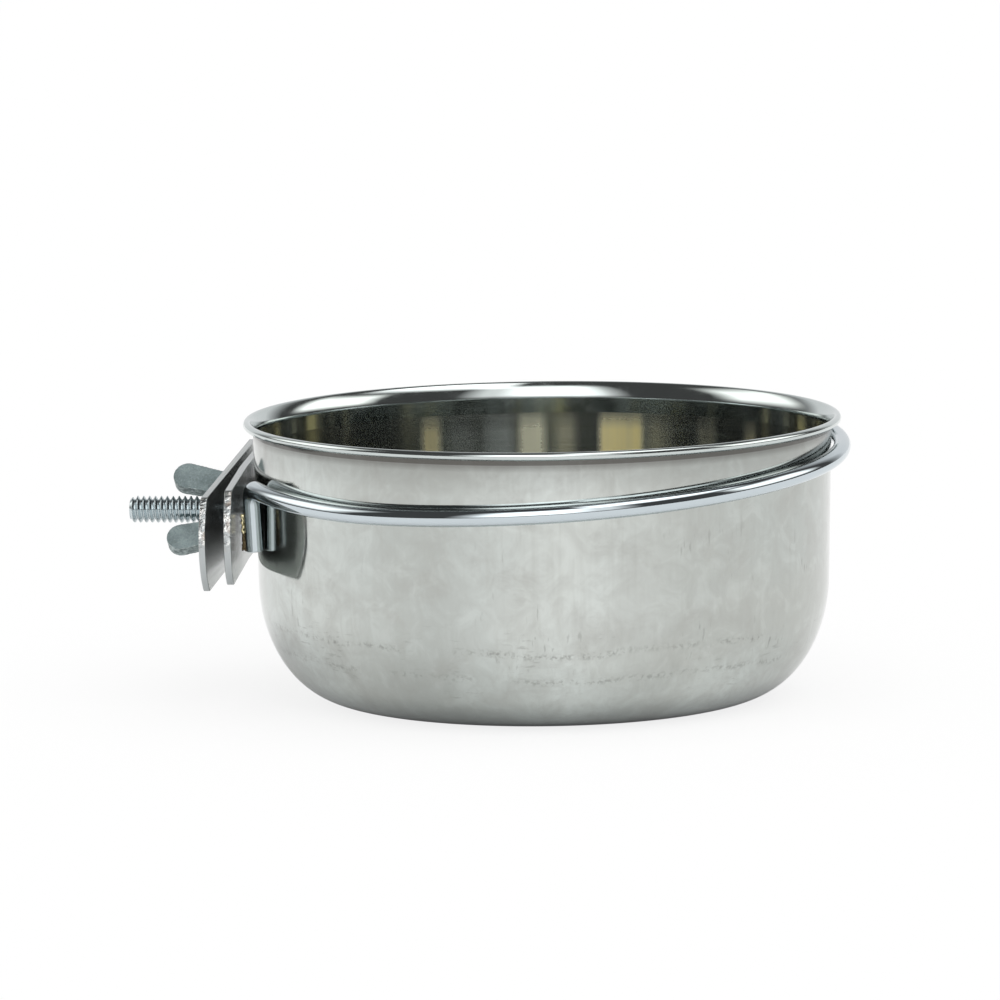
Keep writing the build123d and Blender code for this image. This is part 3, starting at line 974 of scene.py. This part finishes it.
def place_jaw(mesh, middle, height, twist, leans):
    """Cuts the crease, shears each half by its lean and puts the mesh in its place."""
    crease = (leans[0] + leans[1]) / 2
    yaw = (leans[0] - leans[1]) / 2
    shape = bmesh.new()
    shape.from_mesh(mesh)
    bmesh.ops.remove_doubles(shape, verts=shape.verts, dist=WELD * MM)
    for line in CREASE_CUTS:
        bmesh.ops.bisect_plane(
            shape,
            geom=shape.verts[:] + shape.edges[:] + shape.faces[:],
            plane_co=((CREASE_PLACE + line) * MM, 0.0, 0.0),
            plane_no=(1.0, 0.0, 0.0),
        )
    for f in shape.faces:
        f.material_index = 1 if abs(f.normal.x) > FACING else 0
        f.smooth = abs(f.normal.z) < FACING
    along = Vector((0.0, cos(twist), sin(twist)))
    across = Vector((0.0, -sin(twist), cos(twist)))
    out = Vector((-1.0, 0.0, 0.0))
    origin = Vector((-middle, 0.0, height)) * MM
    for v in shape.verts:
        past = v.co.x - CREASE_PLACE * MM
        lean = crease * (hypot(past, CREASE_ROUND * MM) - CREASE_PLACE * MM) - yaw * v.co.x
        v.co = origin + along * v.co.x + across * v.co.y + out * (-v.co.z - lean)
    shape.normal_update()
    bmesh.ops.recalc_face_normals(shape, faces=shape.faces)
    mesh.materials.clear()
    mesh.materials.append(jaw_strip)
    mesh.materials.append(sheared_edge)
    shape.to_mesh(mesh)
    shape.free()
    return mesh


# %% Both jaws
SLIDE_CLEARANCE = 0.45
HANG_GAP = 0.1
INNER_TWIST = radians(2.1)
OUTER_TWIST = radians(3.9)
FRONT_LEAN = tan(radians(3.4))
REAR_LEAN = tan(radians(-1.6))

inner_blank = jaw_mesh("inner_jaw_strip", STUD_RADIUS + STUD_FIT, INNER_THICKNESS)
inner_middle = inner_face - INNER_THICKNESS / 2
inner_mesh = place_jaw(inner_blank, inner_middle, STUD_HEIGHT, INNER_TWIST, (FRONT_LEAN, REAR_LEAN))
stand_for(put_in_scene("inner_jaw_strip", inner_mesh), "inner_jaw", "holder")

outer_blank = jaw_mesh("outer_jaw_strip", STUD_RADIUS + SLIDE_CLEARANCE, OUTER_THICKNESS)
outer_middle = outer_face - OUTER_THICKNESS / 2
outer_height = STUD_HEIGHT - SLIDE_CLEARANCE + HANG_GAP
outer_mesh = place_jaw(outer_blank, outer_middle, outer_height, OUTER_TWIST, (0.0, 0.0))
stand_for(put_in_scene("outer_jaw_strip", outer_mesh), "outer_jaw", "loose_jaw")

# %% [markdown]
# ## The stud
# A screw thread is a rule rather than a shape: at every point of the rod the depth depends
# only on how far along and how far round it lies. So Geometry Nodes rolls a flat grid into a
# rod and lets that rule set each point's radius: 24 turns to the inch, flat at the crest and
# at the root. The first and the last rows of the grid close the two ends.

# %% Tree that rolls a thread
ROOT_FLAT = 0.14
CREST_FLAT = 0.88

thread, given, result = geometry_tree(
    "roll a thread",
    {
        "Length": "Float",
        "Crest Radius": "Float",
        "Depth": "Float",
        "Pitch": "Float",
        "Tip": "Float",
        "Around": "Int",
        "Rows": "Int",
        "Finish": "Material",
    },
)
grid = add_node(
    thread,
    "GeometryNodeMeshGrid",
    {"Size X": 1.0, "Size Y": 1.0, "Vertices X": given["Around"], "Vertices Y": given["Rows"]},
)
on_grid = parts_of(thread, thread.nodes.new("GeometryNodeInputPosition").outputs["Position"])
round_part = math_node(thread, "ADD", on_grid["X"], 0.5)
length_part = math_node(thread, "ADD", on_grid["Y"], 0.5)
total = math_node(thread, "ADD", given["Length"], product(thread, given["Tip"], 2.0))
travel = product(thread, length_part, total)
past_start = highest(thread, math_node(thread, "SUBTRACT", travel, given["Tip"]), 0.0)
axial = math_node(thread, "MINIMUM", past_start, given["Length"])
threads_along = math_node(thread, "DIVIDE", axial, given["Pitch"])
phase = math_node(thread, "FRACT", math_node(thread, "SUBTRACT", threads_along, round_part))
wave = math_node(thread, "ABSOLUTE", math_node(thread, "SUBTRACT", product(thread, phase, 2.0), 1.0))
flank = ranged(thread, wave, ROOT_FLAT, CREST_FLAT)
root_radius = math_node(thread, "SUBTRACT", given["Crest Radius"], given["Depth"])
screw = math_node(thread, "ADD", root_radius, product(thread, flank, given["Depth"]))
to_end = math_node(thread, "SUBTRACT", given["Length"], axial)
bevelled = math_node(thread, "MINIMUM", screw, math_node(thread, "ADD", root_radius, to_end))
nearer_end = math_node(thread, "MINIMUM", travel, math_node(thread, "SUBTRACT", total, travel))
radius = product(thread, bevelled, ranged(thread, nearer_end, 0.0, given["Tip"]))
angle = product(thread, round_part, 2 * pi)
spot = add_node(
    thread,
    "ShaderNodeCombineXYZ",
    {
        "X": product(thread, axial, -1.0),
        "Y": product(thread, radius, math_node(thread, "COSINE", angle)),
        "Z": product(thread, radius, math_node(thread, "SINE", angle), -1.0),
    },
)
rolled = add_node(thread, "GeometryNodeSetPosition", {"Position": spot.outputs["Vector"]})
weld = add_node(thread, "GeometryNodeMergeByDistance", {"Distance": WELD * MM})
chain(thread, grid, rolled, weld)
finish_tree(thread, weld, ((given["Finish"], True),), result)
print("roll a thread:", len(thread.nodes), "nodes")

# %% The stud itself
PITCH = 25.4 / 24
THREAD_DEPTH = 0.62
CLOSING = 0.4
THREAD_AROUND = 73
THREAD_ROWS = 420

stud = grow(
    "stud_thread",
    bpy.data.meshes.new("stud seed"),
    thread,
    {
        "Length": (stud_end - inner_back) * MM,
        "Crest Radius": STUD_RADIUS * MM,
        "Depth": THREAD_DEPTH * MM,
        "Pitch": PITCH * MM,
        "Tip": CLOSING * MM,
        "Around": THREAD_AROUND,
        "Rows": THREAD_ROWS,
        "Finish": zinc_plate,
    },
)
stud.data.transform(Matrix.Translation(Vector((-inner_back, 0.0, STUD_HEIGHT)) * MM))
stand_for(stud, "clamp_stud", "holder")

# %% [markdown]
# The head behind the inner jaw is a thin welded disc. It is round, so the same spinning tree
# as the cup makes it, with one finish in all three places, and it is then turned to lie
# along the stud.

# %% Weld head of the stud
HEAD_RADIUS = 4.5
HEAD_THICKNESS = 1.0
HEAD_SINK = 0.15
HEAD_ROUND = 0.3
HEAD_SEGMENTS = 64
HEAD_STEPS = 5

flat_radius = HEAD_RADIUS - HEAD_ROUND
head_section = [(0.0, 0.0), (flat_radius, 0.0)]
for turn in evenly(0.0, pi / 2, HEAD_STEPS)[1:]:
    head_section.append((flat_radius + HEAD_ROUND * sin(turn), HEAD_ROUND - HEAD_ROUND * cos(turn)))
head_section += [(HEAD_RADIUS, HEAD_THICKNESS + HEAD_SINK), (0.0, HEAD_THICKNESS + HEAD_SINK)]
head = grow(
    "stud_head",
    spin_curve("head section", head_section[::-1]),
    spin,
    {
        "Segments": HEAD_SEGMENTS,
        "Radius": SPIN_RADIUS * MM,
        "Lip From": 0.0,
        "Lip To": 1.0,
        "Inside": zinc_plate,
        "Lip": zinc_plate,
        "Outside": zinc_plate,
    },
)
lie_along = Matrix.Translation(Vector((-(inner_back - HEAD_THICKNESS), 0.0, STUD_HEIGHT)) * MM)
head.data.transform(lie_along @ Matrix.Rotation(-pi / 2, 4, "Y"))
stand_for(head, "clamp_stud", "holder")

# %% [markdown]
# ## The wing nut
# A cast nut has no sharp edge outside. The hub is a short cone and each ear a rounded plate.
# They start as rough solids that overlap, and a voxel remesh with two rounds of smoothing melts
# them together the way the die did. The bore is cut in after that, so it stays crisp.

# %% Rough solids of the nut
HUB_RADIUS = 5.0
HUB_TOP_RADIUS = 4.6
HUB_RIM = 0.6
HUB_HEIGHT = 3.2
HUB_SIDES = 64
EAR_THICKNESS = 2.4
EAR_TURN = radians(39.7)
LOBE_CENTRE = Vector((6.4, 7.5))
LOBE_RADIUS = 2.55
LOBE_SWING = (radians(-14.0), radians(168.0))
LOBE_STEPS = 18
EAR_FOOT = ((1.0, 0.8), (6.9, 0.8), (7.3, 1.2))
EAR_NECK = ((3.05, 3.4), (2.9, 2.4), (1.0, 2.4))

ear_along = Vector((0.0, sin(EAR_TURN), cos(EAR_TURN)))
nut_axis = Vector((-1.0, 0.0, 0.0))
ear_normal = ear_along.cross(nut_axis)
nut_origin = Vector((-nut_base, 0.0, STUD_HEIGHT))


def nut_ring(shape, points):
    """New corners of the nut from places along the ears, up the stud and across the ears."""
    corners = []
    for out, up, aside in points:
        spot = nut_origin + ear_along * out + nut_axis * up + ear_normal * aside
        corners.append(shape.verts.new(spot * MM))
    return corners


def close_sides(shape, rings):
    """Faces over both ends of some rings of corners and between each ring and the next."""
    shape.faces.new(rings[0])
    shape.faces.new(rings[-1][::-1])
    for lower, upper in zip(rings, rings[1:]):
        for index in range(len(lower)):
            after = (index + 1) % len(lower)
            shape.faces.new((lower[index], lower[after], upper[after], upper[index]))


lobe = [LOBE_CENTRE + Vector((cos(t), sin(t))) * LOBE_RADIUS for t in evenly(*LOBE_SWING, LOBE_STEPS)]
ear_outline = [*EAR_FOOT, *lobe, *EAR_NECK]
nut_shape = bmesh.new()
for side in (1.0, -1.0):
    edges = (EAR_THICKNESS / 2, -EAR_THICKNESS / 2)
    close_sides(nut_shape, [nut_ring(nut_shape, [(side * x, y, z) for x, y in ear_outline]) for z in edges])
hub_turns = evenly(0.0, 2 * pi, HUB_SIDES)[:-1]
hub_levels = ((HUB_RADIUS, 0.0), (HUB_RADIUS, HUB_RIM), (HUB_TOP_RADIUS, HUB_HEIGHT))
close_sides(
    nut_shape,
    [nut_ring(nut_shape, [(r * cos(t), up, r * sin(t)) for t in hub_turns]) for r, up in hub_levels],
)
bmesh.ops.recalc_face_normals(nut_shape, faces=nut_shape.faces)
rough_nut = bpy.data.meshes.new("rough nut")
nut_shape.to_mesh(rough_nut)
nut_shape.free()
print("rough nut:", len(rough_nut.vertices), "vertices")

# %% Melt the solids together and cut the bore
NUT_VOXEL = 0.13
SOFTEN_SHARE = 0.5
SOFTEN_ROUNDS = 2
BORE_SIDES = 64
BORE_LENGTH = 20.0

bore_shape = bmesh.new()
bore_frame = Matrix((ear_along, ear_normal, nut_axis)).transposed().to_4x4()
bmesh.ops.create_cone(
    bore_shape,
    cap_ends=True,
    segments=BORE_SIDES,
    radius1=(STUD_RADIUS + STUD_FIT) * MM,
    radius2=(STUD_RADIUS + STUD_FIT) * MM,
    depth=BORE_LENGTH * MM,
    matrix=Matrix.Translation(nut_origin * MM) @ bore_frame,
)
bore_mesh = bpy.data.meshes.new("bore")
bore_shape.to_mesh(bore_mesh)
bore_shape.free()
bore = put_in_scene("bore", bore_mesh)

nut_source = put_in_scene("wing nut source", rough_nut)
melt = nut_source.modifiers.new("melt", "REMESH")
melt.mode = "VOXEL"
melt.voxel_size = NUT_VOXEL * MM
soften = nut_source.modifiers.new("soften", "SMOOTH")
soften.factor = SOFTEN_SHARE
soften.iterations = SOFTEN_ROUNDS
drill = nut_source.modifiers.new("drill", "BOOLEAN")
drill.operation = "DIFFERENCE"
drill.solver = "EXACT"
drill.object = bore
wing_nut = put_in_scene("nut_casting", evaluated_mesh(nut_source, "nut_casting"))
bpy.data.objects.remove(bore)
print("nut:", len(wing_nut.data.polygons), "faces after the bore")

# %% [markdown]
# Three finishes go on the nut. The flat faces have the skin of the casting, the narrow rims of
# the ears are porous, and the edges between are rubbed. How squarely a face of an ear looks
# across it tells which one it is.

# %% Finishes of the nut
EAR_MARGIN = 0.3
RIM_FLATNESS = 0.35
EDGE_FLATNESS = 0.85

wing_nut.data.materials.clear()
for finish in (cast_zinc, cast_rim, worn_edge):
    wing_nut.data.materials.append(finish)
for face in wing_nut.data.polygons:
    face.use_smooth = True
    face.material_index = 0
    spot = face.center / MM - nut_origin
    beside_hub = hypot(spot.y, spot.z) > HUB_RADIUS + EAR_MARGIN
    above_hub = spot.dot(nut_axis) > HUB_HEIGHT + EAR_MARGIN
    flatness = abs(face.normal.dot(ear_normal))
    if (beside_hub or above_hub) and flatness < EDGE_FLATNESS:
        face.material_index = 1 if flatness < RIM_FLATNESS else 2
stand_for(wing_nut, "wing_nut", "nut")

# %% [markdown]
# ## The braze
# Brass was run into the gap between each leg and the inner jaw. A film of brass fills the gap,
# painted nearly black as the shade there, and bright drops froze on its upper part. Both are
# drops strewn along a line near the middle of the CAD bead: Geometry Nodes sets them out with
# a fixed seed, moves each one a little, and a volume fuses those that touch, which makes a
# lumpy seam.

# %% Tree that strews and fuses drops
DROP_SIZES = (0.6, 1.0)
DROP_DIVISIONS = 3

lumps, given, result = geometry_tree(
    "lumpy seam",
    {
        "Count": "Int",
        "Spread": "Vector",
        "Drop Radius": "Float",
        "Voxel": "Float",
        "Seed": "Int",
        "Finish": "Material",
    },
)
drop = add_node(
    lumps, "GeometryNodeMeshIcoSphere", {"Radius": given["Drop Radius"], "Subdivisions": DROP_DIVISIONS}
)
sizes = add_node(
    lumps,
    "FunctionNodeRandomValue",
    {2: DROP_SIZES[0], 3: DROP_SIZES[1], "Seed": given["Seed"]},
    data_type="FLOAT",
)
opposite = add_node(lumps, "ShaderNodeVectorMath", {0: given["Spread"], "Scale": -1.0}, operation="SCALE")
nudges = add_node(
    lumps,
    "FunctionNodeRandomValue",
    {0: opposite.outputs["Vector"], 1: given["Spread"], "Seed": given["Seed"]},
    data_type="FLOAT_VECTOR",
)
spaced = add_node(lumps, "GeometryNodeResampleCurve", {"Curve": given["Geometry"], "Count": given["Count"]})
strew = add_node(
    lumps, "GeometryNodeInstanceOnPoints", {"Instance": drop.outputs["Mesh"], "Scale": sizes.outputs[1]}
)
nudge = add_node(
    lumps, "GeometryNodeTranslateInstances", {"Translation": nudges.outputs[0], "Local Space": False}
)
realize = lumps.nodes.new("GeometryNodeRealizeInstances")
voxel = {"Voxel Size": given["Voxel"]}
volume = add_node(lumps, "GeometryNodeMeshToVolume", voxel, resolution_mode="VOXEL_SIZE")
skin = add_node(lumps, "GeometryNodeVolumeToMesh", voxel, resolution_mode="VOXEL_SIZE")
chain(lumps, spaced, strew, nudge, realize, volume, skin)
finish_tree(lumps, skin, ((given["Finish"], True),), result)
print("lumpy seam:", len(lumps.nodes), "nodes")

# %% Film and drops of both seams
SEAM_VOXEL = 0.06
SEAM_MARGIN = 0.4
DROPS_RISE = 0.2
# Each seam: its node, its way towards the middle of the clamp, and its seed
SEAMS = (("front_braze", 1.0, 4), ("rear_braze", -1.0, 9))
# Shifts from the middle of the bead: towards the cup, and towards the middle of the clamp
FILM_SHIFT = (0.25, 0.40)
DROPS_SHIFT = (0.05, -0.05)
# The film carries the painted shade of the gap
FILM = {
    "Count": 150,
    "Spread": Vector((0.36, 0.14, 0.1)) * MM,
    "Drop Radius": 0.30 * MM,
    "Voxel": SEAM_VOXEL * MM,
    "Finish": shaded_brass,
}
DROPS = {
    "Count": 9,
    "Spread": Vector((0.14, 0.10, 0.2)) * MM,
    "Drop Radius": 0.41 * MM,
    "Voxel": SEAM_VOXEL * MM,
    "Finish": brass,
}

for node, inward, seed in SEAMS:
    corners = [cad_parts[node].matrix_world @ v.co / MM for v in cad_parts[node].data.vertices]
    low = Vector([min(c[axis] for c in corners) for axis in range(3)])
    high = Vector([max(c[axis] for c in corners) for axis in range(3)])
    middle = (low + high) / 2
    for part, recipe, bottom, (shift, depth) in (
        ("film", FILM, low.z + SEAM_MARGIN, FILM_SHIFT),
        ("drops", DROPS, middle.z + DROPS_RISE, DROPS_SHIFT),
    ):
        heights = (bottom, high.z - SEAM_MARGIN)
        ends = [Vector((middle.x + shift, middle.y + inward * depth, z)) for z in heights]
        line = poly_curve(f"{node} {part} line", ends)
        seam = grow(f"{node}_{part}", line, lumps, dict(recipe, Seed=seed))
        stand_for(seam, node, "holder")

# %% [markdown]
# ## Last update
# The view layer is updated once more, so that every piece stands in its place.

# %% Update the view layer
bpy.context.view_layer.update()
